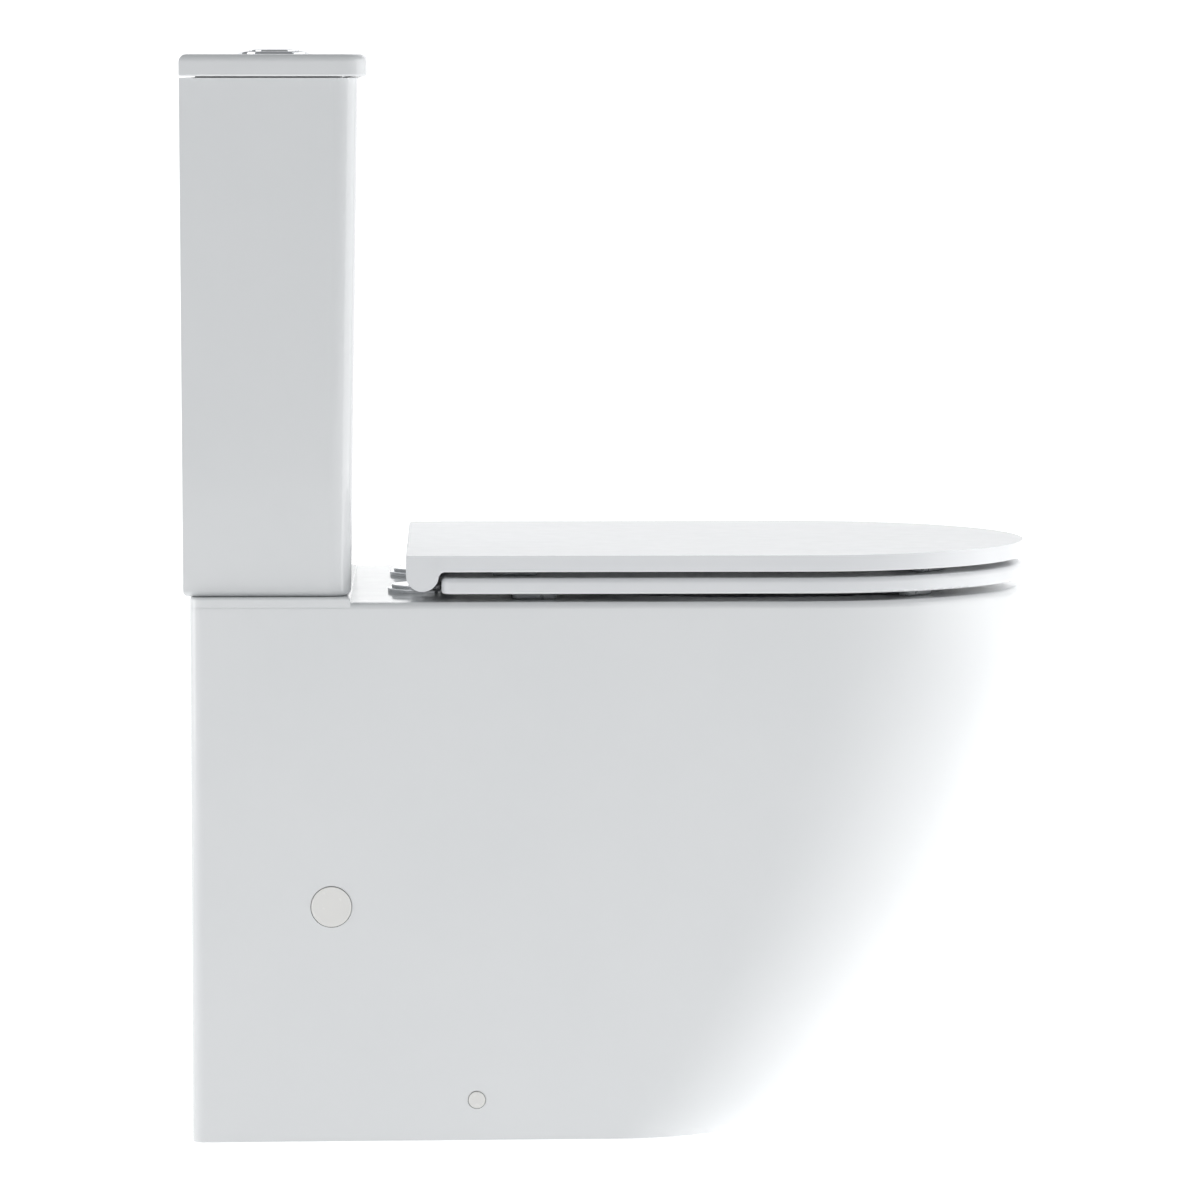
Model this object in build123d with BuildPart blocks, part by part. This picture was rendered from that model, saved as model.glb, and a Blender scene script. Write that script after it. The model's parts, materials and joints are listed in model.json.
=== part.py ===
from build123d import *
import os
from math import atan, degrees

# Close coupled toilet: back-to-wall pan, cistern with lift-off lid and dual flush button,
# and a two-piece seat on metal hinges.  Millimetres, +Z up, floor at Z = 0.
# -Y is the front of the bowl, +Y is the wall side, and X = 0 is the plane of symmetry.

# ---- Driving dimensions -------------------------------------------------------------
PAN_HALF_WIDTH = 180.0
PAN_REAR_Y = 324.0
PAN_TIP_Y = -330.0            # front of the rim
PAN_TOE_Y = -147.0            # front of the base, on the floor
PAN_TOE_HALF_WIDTH = 171.0
PAN_TOE_NOSE = 147.0          # length of the rounded nose in plan, at the floor
NOSE_FULL_Z = 400.0           # height at which the nose is a full half circle
PROW_FULL_Z = 405.0           # height at which the front is plumb
PROW_POWER = 1.6              # the front profile is (1 - (1 - u) ** POWER) ** ROOT
PROW_ROOT = 0.88
DECK_Z = 417.0                # rim and seat deck
PLATFORM_Z = 421.0            # raised platform under the cistern
PLATFORM_FRONT_Y = 201.0
PAN_WALL = 12.0
DECK_THICKNESS = 14.0
PAN_CORNER_R = 9.0
PAN_TOP_R = 5.0
SECTION_HEIGHTS = (0.0, 14.0, 45.0, 105.0, 190.0, 280.0, 360.0)

BOWL_SECTIONS = (             # height, half width, half length, centre Y
    (DECK_Z + 1.0, 133.0, 172.0, -112.0),
    (345.0, 121.0, 154.0, -102.0),
    (265.0, 86.0, 112.0, -80.0),
    (205.0, 53.0, 70.0, -56.0),
    (168.0, 36.0, 46.0, -42.0),
)
BOWL_WALL = 11.0
RIM_WALL = 11.5
SUMP_TOP_Z = 255.0
TRAP_ROUTE = ((-44, 190), (-12, 122), (60, 122), (105, 235), (165, 235), (190, 185), (300, 185))
TRAP_BEND_R = 40.0
TRAP_BORE_R = 28.0
TRAP_OUTER_R = 38.0
OUTLET_Z = 185.0
OUTLET_R = 51.0
OUTLET_BORE_R = 41.0
OUTLET_END_Y = 316.0

CISTERN_Y = 262.0             # centre line of the flush valve and coupling bolts
INLET_R = 46.0               # recess for the coupling gasket
CHAMBER_R = 56.0
CHAMBER_FLOOR_Z = 350.0
BOLT_X = 75.0
FILL_X = -125.0
SEAT_X = 77.5                 # seat hinges are 155 mm apart
HINGE_Y = 146.0
HINGE_Z = 437.5

SEAT_HOLE_Y = 148.0
SEAT_HOLE_R = 7.0
PAN_BOLT_HOLE_R = 6.5
PAN_FILL_HOLE_R = 20.0
OUTLET_LENGTH = 70.0
DUCT_MOUTH_Y = 15.0
DUCT_WIDTH = 54.0
DUCT_HEIGHT = 30.0
REAR_OPENING_WIDTH = 320.0
REAR_OPENING_HEIGHT = 330.0
RIM_INNER_R = 7.0

# Sunk caps in the sides: Y, Z, cap radius, depth of the seat, radius of the hole behind
# and length of the stem that plugs it
ACCESS_CAP = (216.5, 182.5, 15.5, 3.0, 12.5, 9.0)
FIXING_CAP = (105.0, 31.5, 6.5, 2.0, 4.5, 3.0)
SIDE_HOLES = (ACCESS_CAP, FIXING_CAP)
FIXING_Y, FIXING_Z = FIXING_CAP[:2]
CAP_GAP = 0.6

TANK_TOP_Z = 817.0
TANK_FLOOR_Z = PLATFORM_Z + 10.0
TANK_WALL = 9.0
TANK_BOTTOM = (173.0, 201.0, 329.0)    # half width, front Y, rear Y
TANK_TOP = (176.5, 194.0, 330.0)
TANK_FRONT_R = 18.0
TANK_REAR_R = 10.0

LID_Z = TANK_TOP_Z + 1.2
LID_TOP_Z = 835.0
LID_OUTLINE = (179.0, 187.0, 330.0)
LID_PLATE = 9.0
BUTTON_Y = 262.5
BEZEL_R = 29.0
BARREL_R = 23.0
BARREL_BORE_R = 20.6
BUTTON_R = 20.0
SHELF_Z = 811.0
STEM_R = 2.3
FULL_STEM_X = 7.0
HALF_STEM_X = -13.0
BUTTON_SPLIT_X = -5.0

RING_BOTTOM_Z = 423.0
RING_TOP_Z = 435.0
RING_REAR_Y = 131.5
RING_HALF_WIDTH = 176.5
SEAT_TIP_Y = -329.5
SEAT_LID_BOTTOM_Z = 440.0
SEAT_LID_TOP_Z = 452.5
SEAT_LID_HALF_WIDTH = 177.5
LOBE_R = 12.6
KNUCKLE_R = 10.5
PIN_R = 4.0
RUNNING = 0.05                # radial clearance of a pin in its knuckle
POST_HALF_WIDTH = 9.5
KNUCKLE_WIDTH = 17.0
SIDE_GAP = 0.8

# ---- Fittings -----------------------------------------------------------------------
CAP_PROUD = 0.7
CAP_EDGE_R = 0.6
BRACKET_THICKNESS = 4.0
BRACKET_WIDTH = 30.0
BRACKET_HEIGHT = 48.0
BRACKET_FOOT = 32.0
FLOOR_SCREW_R = 3.5
SIDE_SCREW_R = 2.5
SIDE_SCREW_LENGTH = 22.0

HINGE_BASE_R = 25.5
HINGE_BASE_TOP_R = 22.5
HINGE_BASE_STEP = 3.0
HINGE_BASE_TOP_Z = 423.0
POST_FOOT = 7.0
PIN_REACH = 30.0
SEAT_BOLT_END_Z = 352.0
SEAT_WASHER = 3.0
WING_THICKNESS = 4.0
DAMPER_R = 7.6
DAMPER_LENGTH = 42.0

RING_HOLE_Y = -112.0
RING_HOLE_HALF_WIDTH = 104.0
RING_HOLE_HALF_LENGTH = 146.0
RING_TOP_R = 4.0
RING_BOTTOM_R = 2.0
RING_CORNER_R = 8.0
PAD_SIZE = (34.0, 11.0)
RING_PADS = ((146.0, 60.0, 90.0), (118.0, -236.0, 40.0))      # X, Y and turn, one side
LID_PADS = ((146.0, 75.0, 90.0), (112.0, -246.0, 40.0))
LID_REAR_Y = HINGE_Y - LOBE_R - 0.6
LID_BORDER = 9.0
LID_HOLLOW = 7.0
LID_BOTTOM_R = 1.0
MIDDLE_LOBE_WIDTH = 98.0
NOTCH_R = 5.0
LID_TOP_REAR_R = 2.5
HINGE_COVER = 2.4
HINGE_COVER_DROP = 4.0

TANK_BOTTOM_R = 4.5
LID_TOP_R = 6.0
LID_EDGE_R = 1.5
LID_RIM = 14.0
LID_RIB = 10.0
LID_RIB_GAP = 3.0
LID_RIB_WALL = 6.0
BEZEL_HEIGHT = 2.2
BEZEL_EDGE_R = 1.4
SHELF_THICKNESS = 3.0
BUTTON_NUT_R = 30.0
BUTTON_NUT_HEIGHT = 7.0
BUTTON_TOP_Z = 838.6
BUTTON_THICKNESS = 5.0
BUTTON_GAP = 1.0
STEM_LENGTH = 28.0
SPRING_R = 4.2
SPRING_WIRE_R = 0.5
SPRING_TURNS = 5
ROD_R = 2.6
ROD_GAP = 0.8

SEAL_THICKNESS = 3.0
VALVE_SHANK_R = 29.5
VALVE_SHANK_END_Z = 402.0
VALVE_FLANGE_R = 37.0
VALVE_FLANGE = 5.0
VALVE_SEAT = 4.0
VALVE_BORE_R = 24.0
TOWER_R = 36.0
TOWER_WALL = 3.0
LEG = 5.0
TOWER_SHELL_Z = 560.0
TOWER_TOP_Z = 704.0
HEAD_HEIGHT = 26.0
PAD_TOP_Z = 747.0
PAD_R = 7.5
PAD_STEM_R = 3.0
PAD_STEM_END_Z = 708.0
SEAL_R = 27.0
OVERFLOW_R = 12.0
OVERFLOW_TOP_Z = 688.0
OVERFLOW_FLOAT_R = 24.0
BACKNUT_R = 38.0
BACKNUT_HEIGHT = 11.0
GASKET_HEIGHT = 17.0

BOLT_R = 4.0
BOLT_HEAD_R = 9.0
BOLT_HEAD = 5.0
BOLT_END_Z = 375.0
STEEL_WASHER = 1.5

FILL_SHANK_R = 10.4
FILL_SHANK_END_Z = 372.0
FILL_TAIL = 36.0              # threaded tail that takes the tap connector
FILL_NECK_R = 9.8
FILL_FLANGE_R = 16.5
FILL_BORE_R = 5.5
RISER_R = 8.5
RISER_BORE_Z = 690.0
FILL_HEAD_Z = 698.0
FILL_HEAD = 16.0
FILL_HEAD_R = 13.5
FILL_BACKNUT_R = 16.0
FILL_BACKNUT = 9.0
FLOAT_Z = 612.0
FLOAT_HEIGHT = 55.0
FLOAT_R = 21.0
FLOAT_ARM = 4.0
PIVOT_X = FILL_X + 20.0
PIVOT_Z = 706.0
PIVOT_R = 1.5
LINK_X = PIVOT_X + 25.0
LINK_R = 1.5
COLLAR_R = 2.6
COLLAR_REACH = 5.4
LEVER_WIDTH = 8.0
LEVER_THICKNESS = 5.0
EAR_THICKNESS = 2.5

os.makedirs("parts", exist_ok=True)


def save(piece, name):
    """Label one finished piece and write it under its own name."""
    piece.part.label = name
    export_step(piece.part, f"parts/{name}.step")


# ---- Outlines of the pan ------------------------------------------------------------
def prow_y(z):
    """Front of the pan at a height."""
    rise = min(z / PROW_FULL_Z, 1.0)
    share = (1 - (1 - rise) ** PROW_POWER) ** PROW_ROOT
    return PAN_TOE_Y + (PAN_TIP_Y - PAN_TOE_Y) * share


def nose_size(z):
    """Half width, length and centre Y of the rounded nose at a height."""
    share = min(z / NOSE_FULL_Z, 1.0)
    half_width = PAN_TOE_HALF_WIDTH + (PAN_HALF_WIDTH - PAN_TOE_HALF_WIDTH) * share
    length = PAN_TOE_NOSE + (PAN_HALF_WIDTH - PAN_TOE_NOSE) * share
    return half_width, length, prow_y(z) + length


def side_slope(z):
    """How fast the side widens towards the wall at a height."""
    half_width, _, centre_y = nose_size(z)
    return (PAN_HALF_WIDTH - half_width) / (PAN_REAR_Y - centre_y)


def side_x(y, z):
    """Half width of the pan's side at a place behind the nose."""
    half_width, _, centre_y = nose_size(z)
    return half_width + side_slope(z) * (y - centre_y)


def pan_section(z, inset=0.0):
    """Horizontal section of the skirt: flat back, near-straight sides and an elliptical nose."""
    half_width, length, centre_y = nose_size(z)
    start = degrees(atan(side_slope(z) * length / half_width))
    rear = PAN_REAR_Y - inset
    rear_x = PAN_HALF_WIDTH - inset
    with BuildSketch(Plane.XY.offset(z)) as section:
        with BuildLine():
            nose = EllipticalCenterArc((0, centre_y), half_width - inset, length - inset,
                                       180 + start, arc_size=180 - 2 * start)
            Line(nose @ 1, (rear_x, rear))
            Line((rear_x, rear), (-rear_x, rear))
            Line((-rear_x, rear), nose @ 0)
        make_face()
        corners = section.vertices().group_by(Axis.Y)[-1]
        fillet(corners, radius=max(PAN_CORNER_R - inset, 3.0))
    return section.sketch


def bowl_section(z, half_width, half_length, centre_y, grow=0.0):
    """Horizontal oval section of the bowl."""
    with BuildSketch(Plane.XY.offset(z)) as section:
        with Locations((0, centre_y)):
            Ellipse(half_width + grow, half_length + grow)
    return section.sketch


def seat_outline(z, half_width, rear_y, inset=0.0):
    """Outline shared by the seat lid and ring: straight sides and a half-round front."""
    radius = half_width - inset
    centre_y = SEAT_TIP_Y + half_width
    with BuildSketch(Plane.XY.offset(z)) as section:
        with BuildLine():
            CenterArc((0, centre_y), radius, 180, 180)
            Line((radius, centre_y), (radius, rear_y))
            Line((radius, rear_y), (-radius, rear_y))
            Line((-radius, rear_y), (-radius, centre_y))
        make_face()
    return section.sketch


def rounded_outline(z, outline, front_r, rear_r, inset=0.0):
    """Rectangle in plan with different front and rear corner radii."""
    half_width, front_y, rear_y = outline
    with BuildSketch(Plane.XY.offset(z)) as section:
        with Locations((0, (front_y + rear_y) / 2)):
            Rectangle(2 * (half_width - inset), rear_y - front_y - 2 * inset)
        rows = section.vertices().group_by(Axis.Y)
        fillet(rows[0], radius=max(front_r - inset, 2.0))
        fillet(rows[-1], radius=max(rear_r - inset, 2.0))
    return section.sketch


# ---- Pan ----------------------------------------------------------------------------
deck_under_z = DECK_Z - DECK_THICKNESS
bowl_outside = [(DECK_Z - 1, *BOWL_SECTIONS[0][1:])]
bowl_outside += [(row[0] - BOWL_WALL, *row[1:]) for row in BOWL_SECTIONS[1:]]

# Raised platform that carries the cistern; it fills out the rounded deck edge beneath it
with BuildPart() as platform:
    with BuildSketch(Plane.XY.offset(DECK_Z - PAN_TOP_R - 1)):
        with Locations((0, (PLATFORM_FRONT_Y + PAN_REAR_Y) / 2)):
            Rectangle(2 * PAN_HALF_WIDTH - 0.4, PAN_REAR_Y - PLATFORM_FRONT_Y)
    extrude(amount=PLATFORM_Z - DECK_Z + PAN_TOP_R + 1)
    back_corners = platform.edges().filter_by(Axis.Z).group_by(Axis.Y)[-1]
    fillet(back_corners, radius=PAN_CORNER_R)
    fillet(platform.faces().sort_by(Axis.Z)[-1].edges(), radius=2.0)

# Skirt and deck: the outside of the pan, open to the floor and at the back
with BuildPart() as pan_skirt:
    loft(sections=[pan_section(z) for z in SECTION_HEIGHTS + (DECK_Z,)])
    fillet(pan_skirt.faces().sort_by(Axis.Z)[-1].edges(), radius=PAN_TOP_R)
    add(platform.part)
    loft(
        sections=[pan_section(z, PAN_WALL) for z in SECTION_HEIGHTS + (deck_under_z,)],
        mode=Mode.SUBTRACT,
    )
    with BuildSketch(Plane.XZ.offset(-PAN_REAR_Y - 5)):
        Rectangle(REAR_OPENING_WIDTH, REAR_OPENING_HEIGHT, align=(Align.CENTER, Align.MIN))
    extrude(amount=PAN_WALL + 6, mode=Mode.SUBTRACT)
    # Mouth of the bowl and round inlet under the cistern
    with BuildSketch(Plane.XY.offset(deck_under_z - 1)):
        with Locations((0, BOWL_SECTIONS[0][3])):
            Ellipse(BOWL_SECTIONS[0][1] + RIM_WALL, BOWL_SECTIONS[0][2] + RIM_WALL)
        with Locations((0, CISTERN_Y)):
            Circle(INLET_R)
    extrude(amount=PLATFORM_Z - deck_under_z + 2, mode=Mode.SUBTRACT)
    split(bisect_by=Plane.YZ)
    mirror(about=Plane.YZ)
    # Fixing holes in the deck and the platform
    with BuildSketch(Plane.XY.offset(PLATFORM_Z + 1)):
        with Locations((-SEAT_X, SEAT_HOLE_Y), (SEAT_X, SEAT_HOLE_Y)):
            Circle(SEAT_HOLE_R)
        with Locations((-BOLT_X, CISTERN_Y), (BOLT_X, CISTERN_Y)):
            Circle(PAN_BOLT_HOLE_R)
        with Locations((FILL_X, CISTERN_Y)):
            Circle(PAN_FILL_HOLE_R)
    extrude(amount=-(PLATFORM_Z + 3 - deck_under_z), mode=Mode.SUBTRACT)
    # Sunk seats and holes for the caps in both sides
    for sign in (-1, 1):
        for y, z, cap_r, depth, hole_r, _ in SIDE_HOLES:
            face_x = side_x(y, z)
            with BuildSketch(Plane.YZ.offset(sign * (face_x + 2))):
                with Locations((y, z)):
                    Circle(cap_r + CAP_GAP)
            extrude(amount=-sign * (depth + 2), mode=Mode.SUBTRACT)
            with BuildSketch(Plane.YZ.offset(sign * face_x)):
                with Locations((y, z)):
                    Circle(hole_r)
            extrude(amount=-sign * (PAN_WALL + 4), mode=Mode.SUBTRACT)
save(pan_skirt, "pan_skirt")

with BuildLine(Plane.YZ) as trap_path:
    FilletPolyline(*TRAP_ROUTE, radius=TRAP_BEND_R)
trap_start = Plane(origin=trap_path.line @ 0, z_dir=trap_path.line % 0)

# Whole bowl with its rim, open where the trapway and the flush duct enter it
with BuildPart() as bowl_shell:
    loft(sections=[bowl_section(*row, BOWL_WALL) for row in bowl_outside])
    with BuildSketch(Plane.XY.offset(deck_under_z)):
        with Locations((0, BOWL_SECTIONS[0][3])):
            Ellipse(BOWL_SECTIONS[0][1] + RIM_WALL, BOWL_SECTIONS[0][2] + RIM_WALL)
    extrude(amount=DECK_Z - deck_under_z)
    loft(sections=[bowl_section(*row) for row in BOWL_SECTIONS], mode=Mode.SUBTRACT)
    mouth = bowl_shell.faces().sort_by(Axis.Z)[-1].edges().sort_by(Edge.length)[0]
    fillet(mouth, radius=RIM_INNER_R)
    with BuildSketch(trap_start):
        Circle(TRAP_OUTER_R)
    sweep(path=trap_path.line, mode=Mode.SUBTRACT)
    with BuildSketch(Plane.XY.offset(CHAMBER_FLOOR_Z)):
        with Locations((0, CISTERN_Y)):
            Rectangle(DUCT_WIDTH + 2 * BOWL_WALL, CISTERN_Y - DUCT_MOUTH_Y,
                      align=(Align.CENTER, Align.MAX))
    extrude(amount=DUCT_HEIGHT + 2 * BOWL_WALL, mode=Mode.SUBTRACT)

# It is kept as two pieces that touch: the bowl above and the sump below
for label, side in (("pan_bowl", Keep.TOP), ("pan_sump", Keep.BOTTOM)):
    with BuildPart() as bowl_piece:
        add(bowl_shell.part)
        split(bisect_by=Plane.XY.offset(SUMP_TOP_Z), keep=side)
    save(bowl_piece, label)

# Trapway: down from the bowl, up over the weir and out through the spigot
with BuildPart() as pan_trapway:
    with BuildSketch(trap_start):
        Circle(TRAP_OUTER_R)
    sweep(path=trap_path.line)
    with BuildSketch(Plane.XZ.offset(-OUTLET_END_Y)):
        with Locations((0, OUTLET_Z)):
            Circle(OUTLET_R)
    extrude(amount=OUTLET_LENGTH)
    loft(sections=[bowl_section(*row) for row in BOWL_SECTIONS], mode=Mode.SUBTRACT)
    with BuildSketch(trap_start):
        Circle(TRAP_BORE_R)
    sweep(path=trap_path.line, mode=Mode.SUBTRACT)
    with BuildSketch(Plane.XZ.offset(-OUTLET_END_Y)):
        with Locations((0, OUTLET_Z)):
            Circle(OUTLET_BORE_R)
    extrude(amount=OUTLET_LENGTH - BOWL_WALL, mode=Mode.SUBTRACT)
save(pan_trapway, "pan_trapway")

# Chamber under the cistern and the duct that takes the flush to the bowl
with BuildPart() as pan_flush_duct:
    with BuildSketch(Plane.XY.offset(CHAMBER_FLOOR_Z)):
        with Locations((0, CISTERN_Y)):
            Circle(CHAMBER_R)
            Rectangle(DUCT_WIDTH + 2 * BOWL_WALL, CISTERN_Y - DUCT_MOUTH_Y,
                      align=(Align.CENTER, Align.MAX))
        with Locations((0, PAN_REAR_Y - PAN_WALL)):
            Rectangle(2 * CHAMBER_R, CHAMBER_R, align=(Align.CENTER, Align.MIN), mode=Mode.SUBTRACT)
    extrude(amount=deck_under_z - CHAMBER_FLOOR_Z)
    with BuildSketch(Plane.XY.offset(CHAMBER_FLOOR_Z + BOWL_WALL)):
        with Locations((0, CISTERN_Y)):
            Circle(INLET_R)
    extrude(amount=PLATFORM_Z - CHAMBER_FLOOR_Z, mode=Mode.SUBTRACT)
    with BuildSketch(Plane.XY.offset(CHAMBER_FLOOR_Z + BOWL_WALL)):
        with Locations((0, CISTERN_Y)):
            Rectangle(DUCT_WIDTH, CISTERN_Y - DUCT_MOUTH_Y, align=(Align.CENTER, Align.MAX))
    extrude(amount=DUCT_HEIGHT, mode=Mode.SUBTRACT)
    loft(sections=[bowl_section(*row) for row in BOWL_SECTIONS], mode=Mode.SUBTRACT)
save(pan_flush_duct, "pan_flush_duct")

# ---- Caps and side fixings ----------------------------------------------------------
for side, sign in (("left", -1), ("right", 1)):
    for label, row in (("access_cap", ACCESS_CAP), ("screw_cap", FIXING_CAP)):
        y, z, cap_r, depth, hole_r, stem = row
        seat_x = side_x(y, z) - depth
        with BuildPart() as cap:
            with BuildSketch(Plane.YZ.offset(sign * seat_x)):
                with Locations((y, z)):
                    Circle(cap_r)
            extrude(amount=sign * (depth + CAP_PROUD))
            fillet(cap.edges().sort_by(Axis.X)[-1 if sign > 0 else 0], radius=CAP_EDGE_R)
            with BuildSketch(Plane.YZ.offset(sign * seat_x)):
                with Locations((y, z)):
                    Circle(hole_r - 0.3)
            extrude(amount=-sign * stem)
        save(cap, f"{label}_{side}")

bracket_x = side_x(FIXING_Y, FIXING_Z) - PAN_WALL - 4.0
screw_head_x = side_x(FIXING_Y, FIXING_Z) - FIXING_CAP[3] - FIXING_CAP[5] - 0.4
with BuildPart() as floor_brackets:
    for sign in (-1, 1):
        with BuildSketch(Plane.XZ.offset(-FIXING_Y - BRACKET_WIDTH / 2)):
            with Locations((sign * bracket_x, 0.2)):
                Rectangle(BRACKET_THICKNESS, BRACKET_HEIGHT,
                          align=(Align.MAX if sign > 0 else Align.MIN, Align.MIN))
                Rectangle(BRACKET_FOOT, BRACKET_THICKNESS,
                          align=(Align.MAX if sign > 0 else Align.MIN, Align.MIN))
        extrude(amount=BRACKET_WIDTH)
        with BuildSketch(Plane.XY):
            with Locations((sign * (bracket_x - BRACKET_FOOT * 0.6), FIXING_Y)):
                Circle(FLOOR_SCREW_R)
        extrude(amount=BRACKET_THICKNESS + 1, mode=Mode.SUBTRACT)
        with BuildSketch(Plane.YZ.offset(sign * (bracket_x + 1))):
            with Locations((FIXING_Y, FIXING_Z)):
                Circle(SIDE_SCREW_R + 0.1)
        extrude(amount=-sign * (BRACKET_THICKNESS + 2), mode=Mode.SUBTRACT)
save(floor_brackets, "floor_brackets")

with BuildPart() as side_screws:
    for sign in (-1, 1):
        with BuildSketch(Plane.YZ.offset(sign * screw_head_x)):
            with Locations((FIXING_Y, FIXING_Z)):
                Circle(SIDE_SCREW_R)
        extrude(amount=-sign * SIDE_SCREW_LENGTH)
        with BuildSketch(Plane.YZ.offset(sign * screw_head_x)):
            with Locations((FIXING_Y, FIXING_Z)):
                Circle(FIXING_CAP[4] - 0.4)
        extrude(amount=-sign * 2.5)
save(side_screws, "side_screws")

# ---- Seat hinges --------------------------------------------------------------------
for side, sign in (("left", -1), ("right", 1)):
    with BuildPart() as hinge_base:
        with BuildSketch(Plane.XY.offset(DECK_Z + 0.1)):
            with Locations((sign * SEAT_X, SEAT_HOLE_Y)):
                Circle(HINGE_BASE_R)
        extrude(amount=HINGE_BASE_STEP)
        fillet(hinge_base.edges().group_by(Axis.Z)[-1], radius=1.0)
        with BuildSketch(Plane.XY.offset(DECK_Z + 0.1 + HINGE_BASE_STEP)):
            with Locations((sign * SEAT_X, SEAT_HOLE_Y)):
                Circle(HINGE_BASE_TOP_R)
        extrude(amount=HINGE_BASE_TOP_Z - DECK_Z - 0.1 - HINGE_BASE_STEP)
        fillet(hinge_base.edges().group_by(Axis.Z)[-1], radius=1.0)
        with Locations((sign * SEAT_X, SEAT_HOLE_Y, HINGE_BASE_TOP_Z)):
            Hole(PIN_R + RUNNING)
    save(hinge_base, f"hinge_base_{side}")

    with BuildPart() as hinge_post:
        with BuildSketch(Plane.YZ.offset(sign * SEAT_X)):
            with BuildLine():
                Polyline(
                    (HINGE_Y - KNUCKLE_R, HINGE_Z),
                    (SEAT_HOLE_Y - POST_FOOT, HINGE_BASE_TOP_Z),
                    (SEAT_HOLE_Y + POST_FOOT, HINGE_BASE_TOP_Z),
                    (HINGE_Y + KNUCKLE_R, HINGE_Z),
                    close=True,
                )
            make_face()
            with Locations((HINGE_Y, HINGE_Z)):
                Circle(KNUCKLE_R)
                Circle(PIN_R + RUNNING, mode=Mode.SUBTRACT)
        extrude(amount=POST_HALF_WIDTH, both=True)
    save(hinge_post, f"hinge_post_{side}")

pin_start_x = SEAT_X - POST_HALF_WIDTH - SIDE_GAP - KNUCKLE_WIDTH + 0.3
lobe_x = SEAT_X + POST_HALF_WIDTH + SIDE_GAP
with BuildPart() as hinge_pins:
    for sign in (-1, 1):
        with BuildSketch(Plane.YZ.offset(sign * pin_start_x)):
            with Locations((HINGE_Y, HINGE_Z)):
                Circle(PIN_R)
        extrude(amount=sign * (lobe_x + PIN_REACH - pin_start_x))
save(hinge_pins, "hinge_pins")

with BuildPart() as seat_bolts:
    with Locations((-SEAT_X, SEAT_HOLE_Y, SEAT_BOLT_END_Z), (SEAT_X, SEAT_HOLE_Y, SEAT_BOLT_END_Z)):
        Cylinder(PIN_R, HINGE_BASE_TOP_Z - SEAT_BOLT_END_Z,
                 align=(Align.CENTER, Align.CENTER, Align.MIN))
save(seat_bolts, "seat_bolts")


def washers(name, spots, inner_r, outer_r, thickness):
    """Flat rings, all lying with their upper face at the given places."""
    with BuildPart() as rings:
        with Locations(*spots):
            Cylinder(outer_r, thickness, align=(Align.CENTER, Align.CENTER, Align.MAX))
            Cylinder(inner_r, 3 * thickness, mode=Mode.SUBTRACT)
    save(rings, name)


def wing_nuts(name, spots, bore_r, hub_r, height, wing_span):
    """Plastic wing nuts, all hanging with their upper face at the given places."""
    with BuildPart() as nuts:
        with Locations(*spots):
            Cylinder(hub_r, height, align=(Align.CENTER, Align.CENTER, Align.MAX))
        lowered = [(x, y, z - height / 3) for x, y, z in spots]
        with Locations(*lowered):
            Box(WING_THICKNESS, wing_span, height * 2 / 3,
                align=(Align.CENTER, Align.CENTER, Align.MAX))
        with Locations(*spots):
            Cylinder(bore_r, 3 * height, mode=Mode.SUBTRACT)
    save(nuts, name)


under_deck = [(sign * SEAT_X, SEAT_HOLE_Y, deck_under_z) for sign in (-1, 1)]
under_seal = [(x, y, z - SEAT_WASHER) for x, y, z in under_deck]
washers("seat_bolt_washers", under_deck, PIN_R + 0.2, 12.0, SEAT_WASHER)
wing_nuts("seat_bolt_nuts", under_seal, PIN_R + RUNNING, 8.0, 12.0, 30.0)

# ---- Seat ring ----------------------------------------------------------------------
knuckle_x = SEAT_X - POST_HALF_WIDTH - SIDE_GAP - KNUCKLE_WIDTH / 2
ring_outline = seat_outline(RING_BOTTOM_Z, RING_HALF_WIDTH, RING_REAR_Y)
with BuildPart() as seat_ring:
    extrude(ring_outline, amount=RING_TOP_Z - RING_BOTTOM_Z)
    back_corners = seat_ring.edges().filter_by(Axis.Z).group_by(Axis.Y)[-1]
    fillet(back_corners, radius=RING_CORNER_R)
    with BuildSketch(Plane.XY.offset(RING_BOTTOM_Z)):
        with Locations((0, RING_HOLE_Y)):
            Ellipse(RING_HOLE_HALF_WIDTH, RING_HOLE_HALF_LENGTH)
    extrude(amount=RING_TOP_Z - RING_BOTTOM_Z, mode=Mode.SUBTRACT)
    top_edges = seat_ring.faces().sort_by(Axis.Z)[-1].edges()
    fillet(top_edges, radius=RING_TOP_R)
    bottom_edges = seat_ring.faces().sort_by(Axis.Z)[0].edges()
    fillet(bottom_edges, radius=RING_BOTTOM_R)
    for sign in (-1, 1):
        with BuildSketch(Plane.YZ.offset(sign * knuckle_x)):
            with BuildLine():
                Polyline(
                    (RING_REAR_Y - 12, RING_TOP_Z - 1),
                    (HINGE_Y, HINGE_Z + KNUCKLE_R * 0.4),
                    (HINGE_Y, HINGE_Z - KNUCKLE_R * 0.9),
                    (RING_REAR_Y - 12, RING_BOTTOM_Z + 2),
                    close=True,
                )
            make_face()
            with Locations((HINGE_Y, HINGE_Z)):
                Circle(KNUCKLE_R)
        extrude(amount=KNUCKLE_WIDTH / 2, both=True)
    with BuildSketch(Plane.YZ.offset(-200)):
        with Locations((HINGE_Y, HINGE_Z)):
            Circle(PIN_R + RUNNING)
    extrude(amount=400, mode=Mode.SUBTRACT)
save(seat_ring, "seat_ring")


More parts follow.
